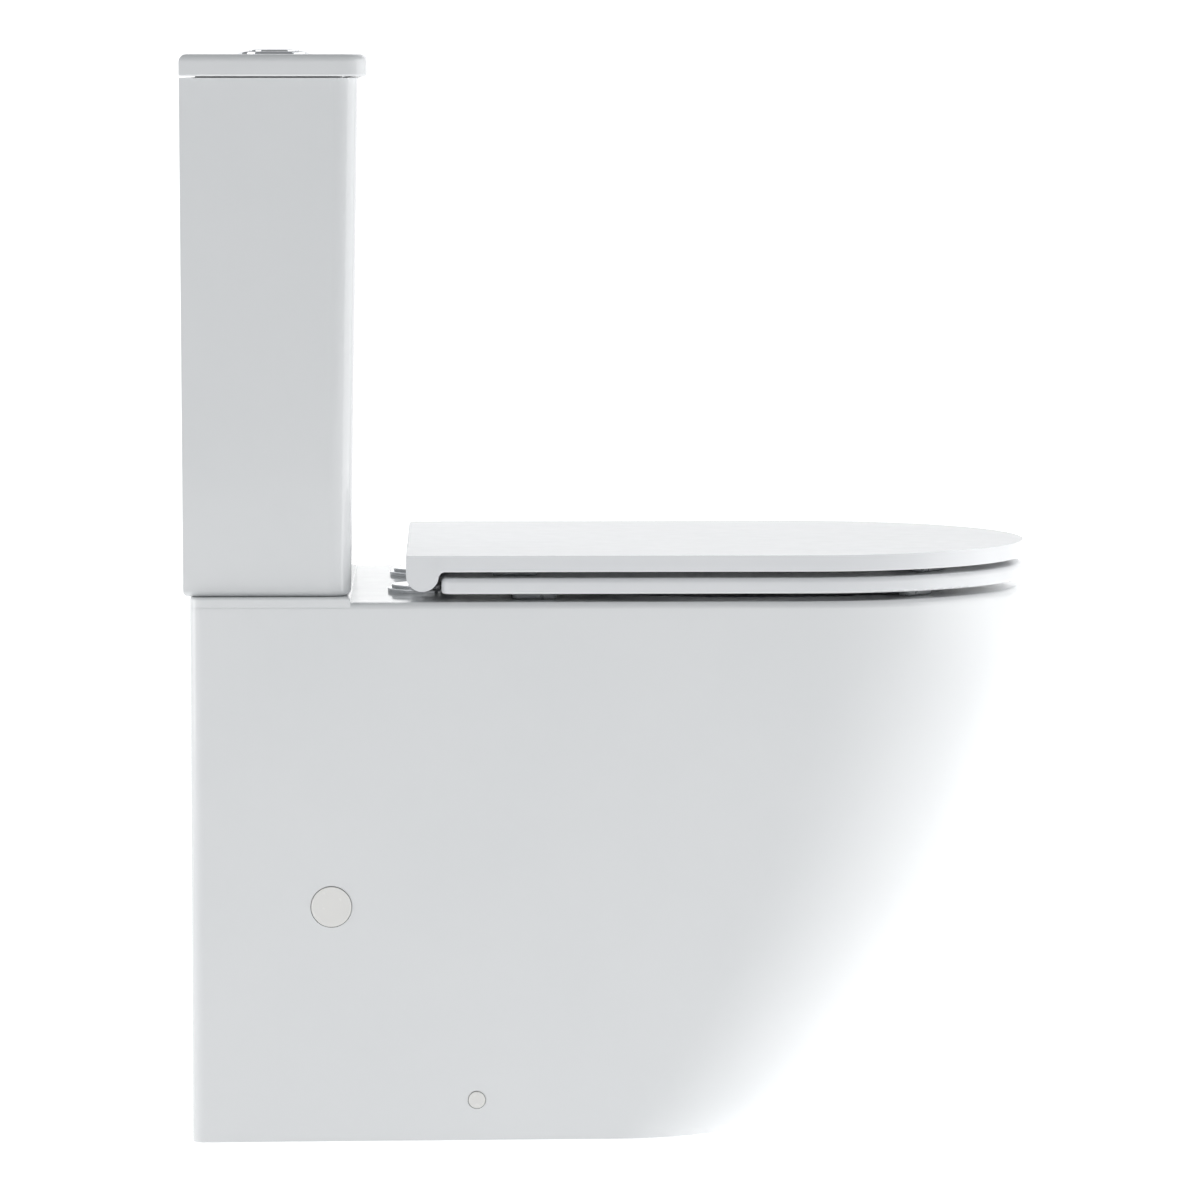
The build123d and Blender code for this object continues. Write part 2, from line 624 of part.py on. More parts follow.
def buffers(name, spots, size, top_z, height):
    """Small rounded pads under the seat lid or ring; each spot is X, Y and a turn."""
    with BuildPart() as pads:
        for x, y, turn in spots:
            with BuildSketch(Plane.XY.offset(top_z)):
                with Locations(Location((x, y), turn)):
                    SlotOverall(*size)
            extrude(amount=-height)
        low_edges = pads.edges().group_by(Axis.Z)[0]
        fillet(low_edges, radius=1.0)
    save(pads, name)


ring_pad_spots = [(sign * x, y, sign * turn) for sign in (-1, 1) for x, y, turn in RING_PADS]
lid_pad_spots = [(sign * x, y, sign * turn) for sign in (-1, 1) for x, y, turn in LID_PADS]
buffers("ring_buffers", ring_pad_spots, PAD_SIZE, RING_BOTTOM_Z, RING_BOTTOM_Z - DECK_Z - 0.4)
lid_pad_root_z = SEAT_LID_BOTTOM_Z + LID_HOLLOW
buffers("lid_buffers", lid_pad_spots, PAD_SIZE, lid_pad_root_z, lid_pad_root_z - RING_TOP_Z - 0.4)

# ---- Seat lid -----------------------------------------------------------------------
notch_y = HINGE_Y - ((LOBE_R + NOTCH_R) ** 2 - (HINGE_Z - SEAT_LID_BOTTOM_Z + NOTCH_R) ** 2) ** 0.5
notch_z = SEAT_LID_BOTTOM_Z - NOTCH_R
notch_share = LOBE_R / (LOBE_R + NOTCH_R)
notch_end = (HINGE_Y + (notch_y - HINGE_Y) * notch_share, HINGE_Z + (notch_z - HINGE_Z) * notch_share)


def lobe_profile(x):
    """Side profile of a lid lobe: square on top, wrapped round the hinge behind and below."""
    with BuildSketch(Plane.YZ.offset(x)) as profile:
        with BuildLine():
            Line((LID_REAR_Y - 12, SEAT_LID_BOTTOM_Z), (LID_REAR_Y - 12, SEAT_LID_TOP_Z))
            Line((LID_REAR_Y - 12, SEAT_LID_TOP_Z), (HINGE_Y + LOBE_R, SEAT_LID_TOP_Z))
            Line((HINGE_Y + LOBE_R, SEAT_LID_TOP_Z), (HINGE_Y + LOBE_R, HINGE_Z))
            ThreePointArc(
                (HINGE_Y + LOBE_R, HINGE_Z), (HINGE_Y, HINGE_Z - LOBE_R), notch_end,
            )
            Line((LID_REAR_Y - 12, SEAT_LID_BOTTOM_Z), (notch_y, SEAT_LID_BOTTOM_Z))
            RadiusArc((notch_y, SEAT_LID_BOTTOM_Z), notch_end, NOTCH_R)
        make_face()
        rear_top = profile.vertices().group_by(Axis.Y)[-1].sort_by(Axis.Z)[-1]
        fillet(rear_top, radius=LID_TOP_REAR_R)
    return profile.sketch


# Thin cover over the hinge posts and knuckles, with a short drop behind
cover_rear = HINGE_Y + LOBE_R
with BuildSketch(Plane.YZ.offset(-lobe_x - 2)) as hinge_cover:
    with BuildLine():
        Polyline(
            (LID_REAR_Y - 2, SEAT_LID_TOP_Z),
            (cover_rear, SEAT_LID_TOP_Z),
            (cover_rear, SEAT_LID_TOP_Z - HINGE_COVER_DROP),
            (cover_rear - HINGE_COVER, SEAT_LID_TOP_Z - HINGE_COVER_DROP),
            (cover_rear - HINGE_COVER, SEAT_LID_TOP_Z - HINGE_COVER),
            (LID_REAR_Y - 2, SEAT_LID_TOP_Z - HINGE_COVER),
            close=True,
        )
    make_face()
    fillet(hinge_cover.vertices().group_by(Axis.Y)[-1].sort_by(Axis.Z)[-1], radius=LID_TOP_REAR_R)

lid_outline = seat_outline(SEAT_LID_BOTTOM_Z, SEAT_LID_HALF_WIDTH, LID_REAR_Y)
lid_hollow = seat_outline(SEAT_LID_BOTTOM_Z, SEAT_LID_HALF_WIDTH, LID_REAR_Y - 12, LID_BORDER)
with BuildPart() as seat_lid:
    extrude(lid_outline, amount=SEAT_LID_TOP_Z - SEAT_LID_BOTTOM_Z)
    fillet(seat_lid.faces().sort_by(Axis.Z)[0].edges(), radius=LID_BOTTOM_R)
    # Hollow underside
    extrude(lid_hollow, amount=LID_HOLLOW, mode=Mode.SUBTRACT)
    # Lobes that wrap the hinge at both ends and in the middle
    end_lobe_width = SEAT_LID_HALF_WIDTH - 1 - lobe_x
    for lobe_start, lobe_width in (
        (-lobe_x - end_lobe_width, end_lobe_width),
        (-MIDDLE_LOBE_WIDTH / 2, MIDDLE_LOBE_WIDTH),
        (lobe_x, end_lobe_width),
    ):
        extrude(lobe_profile(lobe_start), amount=lobe_width)
    extrude(hinge_cover.sketch, amount=2 * lobe_x + 4)
    for sign in (-1, 1):
        with BuildSketch(Plane.YZ.offset(sign * (lobe_x - 1))):
            with Locations((HINGE_Y, HINGE_Z)):
                Circle(PIN_R + RUNNING)
        extrude(amount=sign * (PIN_REACH + 2), mode=Mode.SUBTRACT)
        with BuildSketch(Plane.YZ.offset(sign * (lobe_x + PIN_REACH + 1))):
            with Locations((HINGE_Y, HINGE_Z)):
                Circle(DAMPER_R + 0.2)
        extrude(amount=sign * (DAMPER_LENGTH + 1), mode=Mode.SUBTRACT)
save(seat_lid, "seat_lid")

with BuildPart() as soft_close_dampers:
    for sign in (-1, 1):
        with BuildSketch(Plane.YZ.offset(sign * (lobe_x + PIN_REACH + 1.2))):
            with Locations((HINGE_Y, HINGE_Z)):
                Circle(DAMPER_R)
        extrude(amount=sign * DAMPER_LENGTH)
save(soft_close_dampers, "soft_close_dampers")

# ---- Cistern ------------------------------------------------------------------------
with BuildPart() as cistern_tank:
    loft(sections=[
        rounded_outline(PLATFORM_Z, TANK_BOTTOM, TANK_FRONT_R, TANK_REAR_R),
        rounded_outline(TANK_TOP_Z, TANK_TOP, TANK_FRONT_R, TANK_REAR_R),
    ])
    fillet(cistern_tank.faces().sort_by(Axis.Z)[0].edges(), radius=TANK_BOTTOM_R)
    loft(
        sections=[
            rounded_outline(TANK_FLOOR_Z, TANK_BOTTOM, TANK_FRONT_R, TANK_REAR_R, TANK_WALL),
            rounded_outline(TANK_TOP_Z, TANK_TOP, TANK_FRONT_R, TANK_REAR_R, TANK_WALL),
        ],
        mode=Mode.SUBTRACT,
    )
    with BuildSketch(Plane.XY.offset(PLATFORM_Z - 1)):
        with Locations((0, CISTERN_Y)):
            Circle(VALVE_SHANK_R + 1.5)
        with Locations((-BOLT_X, CISTERN_Y), (BOLT_X, CISTERN_Y)):
            Circle(BOLT_R + 1.5)
        with Locations((FILL_X, CISTERN_Y)):
            Circle(FILL_SHANK_R + 0.6)
    extrude(amount=TANK_FLOOR_Z - PLATFORM_Z + 2, mode=Mode.SUBTRACT)
save(cistern_tank, "cistern_tank")

plate_under_z = LID_TOP_Z - LID_PLATE
rib_z = LID_Z - LID_RIB
rib_inset = TANK_WALL + LID_RIB_GAP
cover = rounded_outline(LID_Z, LID_OUTLINE, TANK_FRONT_R + 1, TANK_REAR_R + 1)
cover_hollow = rounded_outline(LID_Z, LID_OUTLINE, TANK_FRONT_R, TANK_REAR_R, LID_RIM)
rib = rounded_outline(rib_z, TANK_TOP, TANK_FRONT_R, TANK_REAR_R, rib_inset)
rib_hollow = rounded_outline(rib_z, TANK_TOP, TANK_FRONT_R, TANK_REAR_R, rib_inset + LID_RIB_WALL)
with BuildPart() as cistern_lid:
    extrude(cover, amount=LID_TOP_Z - LID_Z)
    fillet(cistern_lid.faces().sort_by(Axis.Z)[-1].edges(), radius=LID_TOP_R)
    fillet(cistern_lid.faces().sort_by(Axis.Z)[0].edges(), radius=LID_EDGE_R)
    # Hollow underside with a locating rib that drops inside the tank
    extrude(cover_hollow, amount=plate_under_z - LID_Z, mode=Mode.SUBTRACT)
    extrude(rib, amount=plate_under_z + 1 - rib_z)
    extrude(rib_hollow, amount=plate_under_z - rib_z, mode=Mode.SUBTRACT)
    with Locations((0, BUTTON_Y, LID_TOP_Z)):
        Hole(BARREL_R + 1)
save(cistern_lid, "cistern_lid")

# ---- Dual flush button --------------------------------------------------------------
with BuildPart() as button_bezel:
    with BuildSketch(Plane.XY.offset(LID_TOP_Z)):
        with Locations((0, BUTTON_Y)):
            Circle(BEZEL_R)
    extrude(amount=BEZEL_HEIGHT)
    fillet(button_bezel.edges().group_by(Axis.Z)[-1], radius=BEZEL_EDGE_R)
    with BuildSketch(Plane.XY.offset(SHELF_Z - SHELF_THICKNESS)):
        with Locations((0, BUTTON_Y)):
            Circle(BARREL_R)
    extrude(amount=LID_TOP_Z - SHELF_Z + SHELF_THICKNESS)
    with BuildSketch(Plane.XY.offset(SHELF_Z)):
        with Locations((0, BUTTON_Y)):
            Circle(BARREL_BORE_R)
    extrude(amount=LID_TOP_Z + BEZEL_HEIGHT - SHELF_Z, mode=Mode.SUBTRACT)
    with Locations((FULL_STEM_X, BUTTON_Y, SHELF_Z), (HALF_STEM_X, BUTTON_Y, SHELF_Z)):
        Hole(STEM_R + 0.5)
save(button_bezel, "button_bezel")

with BuildPart() as button_nut:
    with BuildSketch(Plane.XY.offset(plate_under_z - 0.1)):
        with Locations((0, BUTTON_Y)):
            RegularPolygon(BUTTON_NUT_R, 8)
            Circle(BARREL_R + 0.1, mode=Mode.SUBTRACT)
    extrude(amount=-BUTTON_NUT_HEIGHT)
save(button_nut, "button_nut")


def flush_button(name, stem_x, split_x, keep_side):
    """One half of the round button with its stem; keep_side is +1 or -1 along X."""
    with BuildPart() as button:
        with BuildSketch(Plane.XY.offset(BUTTON_TOP_Z)):
            with Locations((0, BUTTON_Y)):
                Circle(BUTTON_R)
            with Locations((split_x, BUTTON_Y)):
                Rectangle(
                    3 * BUTTON_R, 3 * BUTTON_R, mode=Mode.INTERSECT,
                    align=(Align.MIN if keep_side > 0 else Align.MAX, Align.CENTER),
                )
        extrude(amount=-BUTTON_THICKNESS)
        fillet(button.faces().sort_by(Axis.Z)[-1].edges(), radius=0.8)
        with BuildSketch(Plane.XY.offset(BUTTON_TOP_Z - BUTTON_THICKNESS)):
            with Locations((stem_x, BUTTON_Y)):
                Circle(STEM_R)
        extrude(amount=-STEM_LENGTH)
    save(button, name)


flush_button("full_flush_button", FULL_STEM_X, BUTTON_SPLIT_X, 1)
flush_button("half_flush_button", HALF_STEM_X, BUTTON_SPLIT_X - BUTTON_GAP, -1)

spring_height = BUTTON_TOP_Z - BUTTON_THICKNESS - SHELF_Z - 2 * SPRING_WIRE_R
for label, stem_x in (("full", FULL_STEM_X), ("half", HALF_STEM_X)):
    with BuildPart() as spring:
        with BuildLine():
            coil = Helix(
                pitch=spring_height / SPRING_TURNS, height=spring_height, radius=SPRING_R,
                center=(stem_x, BUTTON_Y, SHELF_Z + SPRING_WIRE_R),
            )
        with BuildSketch(Plane(origin=coil @ 0, z_dir=coil % 0)):
            Circle(SPRING_WIRE_R)
        sweep(path=coil, is_frenet=True)
    save(spring, f"{label}_button_spring")

stem_end_z = BUTTON_TOP_Z - BUTTON_THICKNESS - STEM_LENGTH
for label, stem_x in (("full", FULL_STEM_X), ("half", HALF_STEM_X)):
    with BuildPart() as rod:
        with BuildSketch(Plane.XY.offset(stem_end_z)):
            with Locations((stem_x, BUTTON_Y)):
                Circle(ROD_R)
        extrude(amount=-(stem_end_z - PAD_TOP_Z - ROD_GAP))
    save(rod, f"{label}_flush_rod")

# ---- Flush valve --------------------------------------------------------------------
washers("flush_valve_washer", [(0, CISTERN_Y, TANK_FLOOR_Z + SEAL_THICKNESS)],
        VALVE_SHANK_R + 0.2, VALVE_FLANGE_R, SEAL_THICKNESS)

valve_flange_z = TANK_FLOOR_Z + SEAL_THICKNESS
with BuildPart() as flush_valve_base:
    with Locations((0, CISTERN_Y, VALVE_SHANK_END_Z)):
        Cylinder(VALVE_SHANK_R, valve_flange_z - VALVE_SHANK_END_Z,
                 align=(Align.CENTER, Align.CENTER, Align.MIN))
    with Locations((0, CISTERN_Y, valve_flange_z)):
        Cylinder(VALVE_FLANGE_R, VALVE_FLANGE, align=(Align.CENTER, Align.CENTER, Align.MIN))
        Cylinder(VALVE_BORE_R + 3, VALVE_FLANGE + VALVE_SEAT,
                 align=(Align.CENTER, Align.CENTER, Align.MIN))
    with Locations((0, CISTERN_Y, valve_flange_z + VALVE_FLANGE + VALVE_SEAT)):
        Hole(VALVE_BORE_R)
save(flush_valve_base, "flush_valve_base")

tower_z = valve_flange_z + VALVE_FLANGE
with BuildPart() as flush_valve_tower:
    with BuildSketch(Plane.XY.offset(tower_z)):
        with Locations((0, CISTERN_Y)):
            with PolarLocations(TOWER_R - LEG / 2, 4, 45):
                Rectangle(LEG, 2 * LEG)
    extrude(amount=TOWER_SHELL_Z - tower_z)
    with BuildSketch(Plane.XY.offset(TOWER_SHELL_Z)):
        with Locations((0, CISTERN_Y)):
            Circle(TOWER_R)
            Circle(TOWER_R - TOWER_WALL, mode=Mode.SUBTRACT)
    extrude(amount=TOWER_TOP_Z - TOWER_SHELL_Z)
save(flush_valve_tower, "flush_valve_tower")

with BuildPart() as flush_valve_head:
    with Locations((0, CISTERN_Y, TOWER_TOP_Z)):
        Cylinder(TOWER_R, HEAD_HEIGHT, align=(Align.CENTER, Align.CENTER, Align.MIN))
    fillet(flush_valve_head.edges().group_by(Axis.Z)[-1], radius=2.0)
    with Locations((FULL_STEM_X, BUTTON_Y, TOWER_TOP_Z), (HALF_STEM_X, BUTTON_Y, TOWER_TOP_Z)):
        Cylinder(PAD_STEM_R + 0.4, 3 * HEAD_HEIGHT, mode=Mode.SUBTRACT)
save(flush_valve_head, "flush_valve_head")

for label, stem_x in (("full", FULL_STEM_X), ("half", HALF_STEM_X)):
    with BuildPart() as flush_pad:
        with Locations((stem_x, BUTTON_Y, PAD_TOP_Z)):
            Cylinder(PAD_R, 3, align=(Align.CENTER, Align.CENTER, Align.MAX))
            Cylinder(PAD_STEM_R, PAD_TOP_Z - PAD_STEM_END_Z,
                     align=(Align.CENTER, Align.CENTER, Align.MAX))
    save(flush_pad, f"{label}_flush_pad")

seal_z = tower_z + VALVE_SEAT + 0.3
with BuildPart() as flush_valve_seal:
    with Locations((0, CISTERN_Y, seal_z)):
        Cylinder(SEAL_R, SEAL_THICKNESS, align=(Align.CENTER, Align.CENTER, Align.MIN))
        Cylinder(OVERFLOW_R + 0.2, 4 * SEAL_THICKNESS, mode=Mode.SUBTRACT)
save(flush_valve_seal, "flush_valve_seal")

with BuildPart() as overflow_tube:
    with Locations((0, CISTERN_Y, seal_z)):
        Cylinder(OVERFLOW_R, OVERFLOW_TOP_Z - seal_z, align=(Align.CENTER, Align.CENTER, Align.MIN))
    with Locations((0, CISTERN_Y, seal_z + SEAL_THICKNESS)):
        Cylinder(SEAL_R, 4, align=(Align.CENTER, Align.CENTER, Align.MIN))
    with Locations((0, CISTERN_Y, OVERFLOW_TOP_Z - 90)):
        Cylinder(OVERFLOW_FLOAT_R, 40, align=(Align.CENTER, Align.CENTER, Align.MIN))
    with Locations((0, CISTERN_Y, OVERFLOW_TOP_Z)):
        Hole(OVERFLOW_R - 2)
save(overflow_tube, "overflow_tube")

with BuildPart() as flush_valve_backnut:
    with BuildSketch(Plane.XY.offset(PLATFORM_Z - 0.3)):
        with Locations((0, CISTERN_Y)):
            RegularPolygon(BACKNUT_R, 6)
            Circle(VALVE_SHANK_R + 0.1, mode=Mode.SUBTRACT)
    extrude(amount=-BACKNUT_HEIGHT)
save(flush_valve_backnut, "flush_valve_backnut")

washers("coupling_gasket", [(0, CISTERN_Y, PLATFORM_Z - 0.3)], BACKNUT_R + 0.3, INLET_R - 0.3,
        GASKET_HEIGHT)

# ---- Coupling bolts -----------------------------------------------------------------
bolt_spots = [(-BOLT_X, CISTERN_Y), (BOLT_X, CISTERN_Y)]
head_z = TANK_FLOOR_Z + SEAL_THICKNESS
with BuildPart() as coupling_bolts:
    with Locations(*[(x, y, head_z) for x, y in bolt_spots]):
        Cylinder(BOLT_HEAD_R, BOLT_HEAD, align=(Align.CENTER, Align.CENTER, Align.MIN))
    fillet(coupling_bolts.edges().group_by(Axis.Z)[-1], radius=1.5)
    with Locations(*[(x, y, head_z) for x, y in bolt_spots]):
        Cylinder(BOLT_R, head_z - BOLT_END_Z, align=(Align.CENTER, Align.CENTER, Align.MAX))
save(coupling_bolts, "coupling_bolts")

platform_under = [(x, y, deck_under_z) for x, y in bolt_spots]
washers("coupling_rubber_washers", [(x, y, head_z) for x, y in bolt_spots], BOLT_R + 0.2, 12.0,
        SEAL_THICKNESS)
washers("coupling_steel_washers", platform_under, BOLT_R + 0.2, 12.0, STEEL_WASHER)
wing_nuts("coupling_wing_nuts", [(x, y, z - STEEL_WASHER) for x, y, z in platform_under],
          BOLT_R + RUNNING, 7.5, 11.0, 28.0)

# ---- Fill valve ---------------------------------------------------------------------
fill_flange_z = TANK_FLOOR_Z + SEAL_THICKNESS
washers("fill_valve_washer", [(FILL_X, CISTERN_Y, fill_flange_z)], FILL_NECK_R + 0.2, 17.5,
        SEAL_THICKNESS)

with BuildPart() as fill_valve_body:
    with Locations((FILL_X, CISTERN_Y, FILL_SHANK_END_Z)):
        Cylinder(FILL_SHANK_R, FILL_TAIL, align=(Align.CENTER, Align.CENTER, Align.MIN))
        Cylinder(FILL_NECK_R, fill_flange_z - FILL_SHANK_END_Z,
                 align=(Align.CENTER, Align.CENTER, Align.MIN))
    with Locations((FILL_X, CISTERN_Y, fill_flange_z)):
        Cylinder(FILL_FLANGE_R, 4, align=(Align.CENTER, Align.CENTER, Align.MIN))
        Cylinder(RISER_R, FILL_HEAD_Z - fill_flange_z, align=(Align.CENTER, Align.CENTER, Align.MIN))
    with Locations((FILL_X, CISTERN_Y, FILL_HEAD_Z)):
        Cylinder(FILL_HEAD_R, FILL_HEAD, align=(Align.CENTER, Align.CENTER, Align.MIN))
    # Two ears that carry the lever's pivot pin
    for sign in (-1, 1):
        with Locations((FILL_X, CISTERN_Y + sign * (LEVER_WIDTH / 2 + 0.4), FILL_HEAD_Z)):
            Box(PIVOT_X - FILL_X + 4, EAR_THICKNESS, FILL_HEAD - 2,
                align=(Align.MIN, Align.MIN if sign > 0 else Align.MAX, Align.MIN))
    with BuildSketch(Plane.XZ.offset(-CISTERN_Y)):
        with Locations((PIVOT_X, PIVOT_Z)):
            Circle(PIVOT_R)
    extrude(amount=LEVER_WIDTH / 2 + 0.4 + EAR_THICKNESS, both=True)
    with Locations((FILL_X, CISTERN_Y, FILL_SHANK_END_Z)):
        Cylinder(FILL_BORE_R, RISER_BORE_Z - FILL_SHANK_END_Z, mode=Mode.SUBTRACT,
                 align=(Align.CENTER, Align.CENTER, Align.MIN))
save(fill_valve_body, "fill_valve_body")

with BuildPart() as fill_valve_cap:
    with Locations((FILL_X, CISTERN_Y, FILL_HEAD_Z + FILL_HEAD)):
        Cylinder(FILL_HEAD_R - 2, 8, align=(Align.CENTER, Align.CENTER, Align.MIN))
    fillet(fill_valve_cap.edges().group_by(Axis.Z)[-1], radius=2.0)
save(fill_valve_cap, "fill_valve_cap")

with BuildPart() as inlet_filter:
    with Locations((FILL_X, CISTERN_Y, FILL_SHANK_END_Z + 4)):
        Cylinder(FILL_BORE_R - 0.1, 24, align=(Align.CENTER, Align.CENTER, Align.MIN))
        Cylinder(FILL_BORE_R - 1.2, 21, mode=Mode.SUBTRACT,
                 align=(Align.CENTER, Align.CENTER, Align.MIN))
save(inlet_filter, "inlet_filter")

with BuildPart() as fill_valve_backnut:
    with BuildSketch(Plane.XY.offset(PLATFORM_Z - 0.3)):
        with Locations((FILL_X, CISTERN_Y)):
            RegularPolygon(FILL_BACKNUT_R, 6)
            Circle(FILL_NECK_R + 0.1, mode=Mode.SUBTRACT)
    extrude(amount=-FILL_BACKNUT)
save(fill_valve_backnut, "fill_valve_backnut")

with BuildPart() as fill_valve_float:
    with Locations((FILL_X, CISTERN_Y, FLOAT_Z)):
        Cylinder(FLOAT_R, FLOAT_HEIGHT, align=(Align.CENTER, Align.CENTER, Align.MIN))
    with Locations((FILL_X, CISTERN_Y, FLOAT_Z + FLOAT_HEIGHT - FLOAT_ARM)):
        Box(LINK_X - FILL_X + 4, 8, FLOAT_ARM, align=(Align.MIN, Align.CENTER, Align.MIN))
    with Locations((LINK_X, CISTERN_Y, FLOAT_Z + FLOAT_HEIGHT - FLOAT_ARM)):
        Cylinder(LINK_R, PIVOT_Z + COLLAR_REACH + 3 - FLOAT_Z - FLOAT_HEIGHT + FLOAT_ARM,
                 align=(Align.CENTER, Align.CENTER, Align.MIN))
    with Locations((LINK_X, CISTERN_Y, PIVOT_Z + COLLAR_REACH)):
        Cylinder(COLLAR_R, 3, align=(Align.CENTER, Align.CENTER, Align.MIN))
    with Locations((LINK_X, CISTERN_Y, PIVOT_Z - COLLAR_REACH)):
        Cylinder(COLLAR_R, 3, align=(Align.CENTER, Align.CENTER, Align.MAX))
    with Locations((FILL_X, CISTERN_Y, FLOAT_Z)):
        Cylinder(RISER_R + 1, 3 * FLOAT_HEIGHT, mode=Mode.SUBTRACT)
save(fill_valve_float, "fill_valve_float")

with BuildPart() as fill_valve_lever:
    with Locations(((PIVOT_X - 4 + LINK_X + 8) / 2, CISTERN_Y, PIVOT_Z)):
        Box(LINK_X + 8 - PIVOT_X + 4, LEVER_WIDTH, LEVER_THICKNESS)
    with BuildSketch(Plane.XY.offset(PIVOT_Z + LEVER_THICKNESS)):
        with Locations((LINK_X + 0.8, CISTERN_Y)):
            SlotOverall(8, 2 * (LINK_R + 0.6))
    extrude(amount=-3 * LEVER_THICKNESS, mode=Mode.SUBTRACT)
    with BuildSketch(Plane.XZ.offset(-CISTERN_Y)):
        with Locations((PIVOT_X, PIVOT_Z)):
            Circle(PIVOT_R + RUNNING)
    extrude(amount=LEVER_WIDTH, both=True, mode=Mode.SUBTRACT)
save(fill_valve_lever, "fill_valve_lever")
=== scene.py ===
"""Looks of the close coupled toilet: glazed ceramic, moulded seat, chrome fittings and a pale studio."""

import json
from math import cos, pi, radians, sin

import bmesh
import bpy
from mathutils import Matrix, Vector

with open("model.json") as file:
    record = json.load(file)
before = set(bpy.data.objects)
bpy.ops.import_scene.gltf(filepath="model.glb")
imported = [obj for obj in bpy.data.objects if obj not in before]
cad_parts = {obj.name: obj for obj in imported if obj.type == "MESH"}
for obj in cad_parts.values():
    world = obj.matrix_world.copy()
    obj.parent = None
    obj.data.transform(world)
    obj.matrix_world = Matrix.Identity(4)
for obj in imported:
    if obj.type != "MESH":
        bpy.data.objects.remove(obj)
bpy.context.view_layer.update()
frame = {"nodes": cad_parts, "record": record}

MM = 0.001
SLOT_OF = {row["node"]: row["material_slot"] for row in frame["record"]["subparts"]}


# ---- Materials ----------------------------------------------------------------------
def new_material(name):
    """A node material with its shader, object coordinates and a helper to add nodes."""
    material = bpy.data.materials.new(name)
    material.use_nodes = True
    tree = material.node_tree
    shader = tree.nodes["Principled BSDF"]
    coords = tree.nodes.new("ShaderNodeTexCoord")
    return material, tree, shader, coords


def noise(tree, coords, scale, detail=3.0, roughness=0.5):
    """Noise in object space; scale is in features per metre."""
    node = tree.nodes.new("ShaderNodeTexNoise")
    node.inputs["Scale"].default_value = scale
    node.inputs["Detail"].default_value = detail
    node.inputs["Roughness"].default_value = roughness
    tree.links.new(coords.outputs["Object"], node.inputs["Vector"])
    return node


def spread(tree, source, low, high, socket):
    """Maps a 0 to 1 value onto low..high and links it to a shader socket."""
    node = tree.nodes.new("ShaderNodeMapRange")
    node.inputs["From Min"].default_value = 0.3
    node.inputs["From Max"].default_value = 0.7
    node.inputs["To Min"].default_value = low
    node.inputs["To Max"].default_value = high
    tree.links.new(source.outputs["Fac"], node.inputs["Value"])
    tree.links.new(node.outputs["Result"], socket)


def tint(tree, source, first, second, socket):
    """Blends two close colours by a noise and links them to a shader socket."""
    ramp = tree.nodes.new("ShaderNodeValToRGB")
    ramp.color_ramp.elements[0].position = 0.3
    ramp.color_ramp.elements[1].position = 0.7
    ramp.color_ramp.elements[0].color = (*first, 1)
    ramp.color_ramp.elements[1].color = (*second, 1)
    tree.links.new(source.outputs["Fac"], ramp.inputs["Fac"])
    tree.links.new(ramp.outputs["Color"], socket)


def bump(tree, source, distance, shader, strength=1.0):
    """Bump of a real height, in metres."""
    node = tree.nodes.new("ShaderNodeBump")
    node.inputs["Strength"].default_value = strength
    node.inputs["Distance"].default_value = distance
    tree.links.new(source.outputs["Fac"], node.inputs["Height"])
    tree.links.new(node.outputs["Normal"], shader.inputs["Normal"])


def glaze():
    material, tree, shader, coords = new_material("glaze")
    cloud = noise(tree, coords, 9.0)
    tint(tree, cloud, (0.86, 0.872, 0.88), (0.875, 0.885, 0.892), shader.inputs["Base Color"])
    spread(tree, noise(tree, coords, 30.0), 0.07, 0.12, shader.inputs["Roughness"])
    bump(tree, noise(tree, coords, 45.0, 2.0), 0.00006, shader)
    shader.inputs["IOR"].default_value = 1.5
    shader.inputs["Coat Weight"].default_value = 0.2
    shader.inputs["Coat Roughness"].default_value = 0.03
    return material


def seat_plastic():
    material, tree, shader, coords = new_material("seat_plastic")
    cloud = noise(tree, coords, 14.0)
    tint(tree, cloud, (0.875, 0.885, 0.9), (0.888, 0.897, 0.91), shader.inputs["Base Color"])
    spread(tree, noise(tree, coords, 60.0), 0.23, 0.25, shader.inputs["Roughness"])
    bump(tree, noise(tree, coords, 900.0, 2.0), 0.0000015, shader)
    shader.inputs["IOR"].default_value = 1.44
    return material


def plain(name, low, high, rough_low, rough_high, grain=400.0, height=0.00002, metallic=0.0):
    """Moulded or cast surface: two close colours, uneven polish and a fine grain."""
    material, tree, shader, coords = new_material(name)
    tint(tree, noise(tree, coords, 25.0), low, high, shader.inputs["Base Color"])
    spread(tree, noise(tree, coords, 120.0), rough_low, rough_high, shader.inputs["Roughness"])
    bump(tree, noise(tree, coords, grain, 2.0), height, shader)
    shader.inputs["Metallic"].default_value = metallic
    return material


def buffer():
    material = plain("buffer", (0.78, 0.8, 0.83), (0.84, 0.86, 0.88), 0.25, 0.38, 600.0, 0.00001)
    shader = material.node_tree.nodes["Principled BSDF"]
    shader.inputs["Transmission Weight"].default_value = 0.45
    shader.inputs["IOR"].default_value = 1.45
    return material


